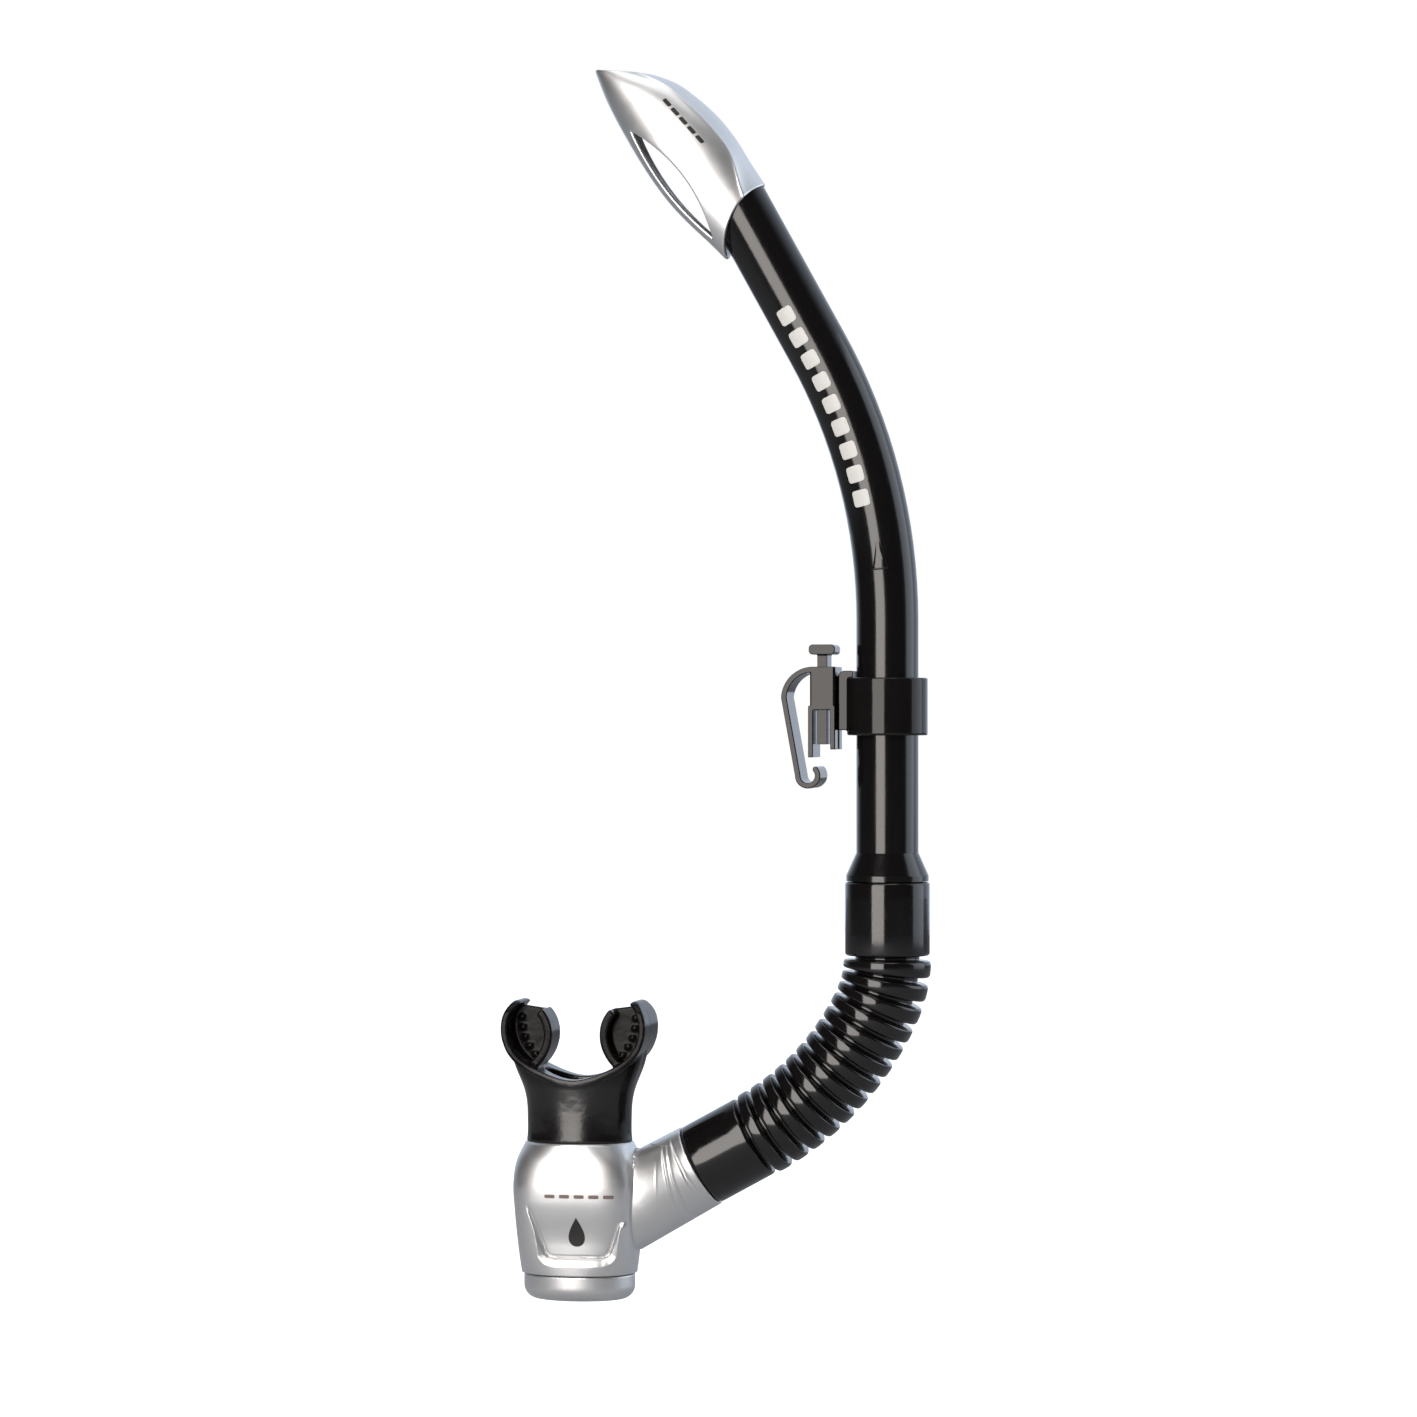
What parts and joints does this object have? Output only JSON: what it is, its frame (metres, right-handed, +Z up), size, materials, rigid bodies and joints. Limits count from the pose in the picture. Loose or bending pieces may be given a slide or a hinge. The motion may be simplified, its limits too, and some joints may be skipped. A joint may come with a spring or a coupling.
{
  "type": "snorkel tube",
  "caption": "Bent snorkel with a splash hood, a ringed flexible lower hose, a purge chamber, a soft mouthpiece and a clip-on mask strap keeper.",
  "frame": {"origin": "on the axis of the barrel's straight stretch, half-way up the keeper collar, where a mask strap keeper grips the barrel", "axes": "+Z up along the straight barrel towards the splash hood, -X towards the mouthpiece chamber, +Y across the plane that the tube bends in"},
  "size_m": [0.1529, 0.0358, 0.4402],
  "materials": {
    "gloss_black": "polished",
    "silver": "satin metallic silver paint on plastic",
    "hose_rubber": "glossy silicone",
    "mouth_silicone": "glossy silicone",
    "keeper_plastic": "polished",
    "valve_silicone": "translucent silicone",
    "grey_plastic": "matte"
  },
  "bodies": {
    "barrel": {"barrel": "gloss_black", "splash_hood": "silver"},
    "hose": {"flex_hose": "hose_rubber"},
    "chamber": {"chamber_body": "silver", "mouthpiece": "mouth_silicone", "valve_seat": "grey_plastic", "purge_cover": "silver"},
    "purge_valve": {"purge_valve": "valve_silicone"},
    "keeper_liner": {"keeper_liner": "grey_plastic"},
    "keeper_collar": {"keeper_collar": "keeper_plastic"},
    "keeper_hook": {"keeper_hook": "keeper_plastic"},
    "release_plunger": {"release_plunger": "keeper_plastic"}
  },
  "joints": [
    {"name": "barrel_swivel", "type": "hinge", "parent": "barrel", "child": "hose", "pos_m": [0, 0, -0.075], "axis": [0, 0, 1], "range_deg": [-180, 180]},
    {"name": "hose_flex", "type": "hinge", "parent": "hose", "child": "chamber", "pos_m": [-0.0183, 0, -0.1244], "axis": [0, 1, 0], "range_deg": [-45, 15], "stiffness_Nm_per_rad": 0.8, "deforming": ["flex_hose"]},
    {"name": "purge_lift", "type": "slide", "parent": "chamber", "child": "purge_valve", "axis": [0, 0, -1], "range_m": [0, 0.0018], "stiffness_N_per_m": 20, "springref_m": -0.001},
    {"name": "keeper_height", "type": "slide", "parent": "barrel", "child": "keeper_liner", "axis": [0, 0, 1], "range_m": [-0.038, 0.018]},
    {"name": "keeper_turn", "type": "hinge", "parent": "keeper_liner", "child": "keeper_collar", "pos_m": [0, 0, 0], "axis": [0, 0, 1], "continuous": true},
    {"name": "hook_release", "type": "slide", "parent": "keeper_collar", "child": "keeper_hook", "axis": [0, 0, 1], "range_m": [0, 0.024]},
    {"name": "plunger_press", "type": "slide", "parent": "keeper_hook", "child": "release_plunger", "axis": [0, 0, -1], "range_m": [0, 0.0035], "stiffness_N_per_m": 300, "springref_m": -0.001}
  ]
}
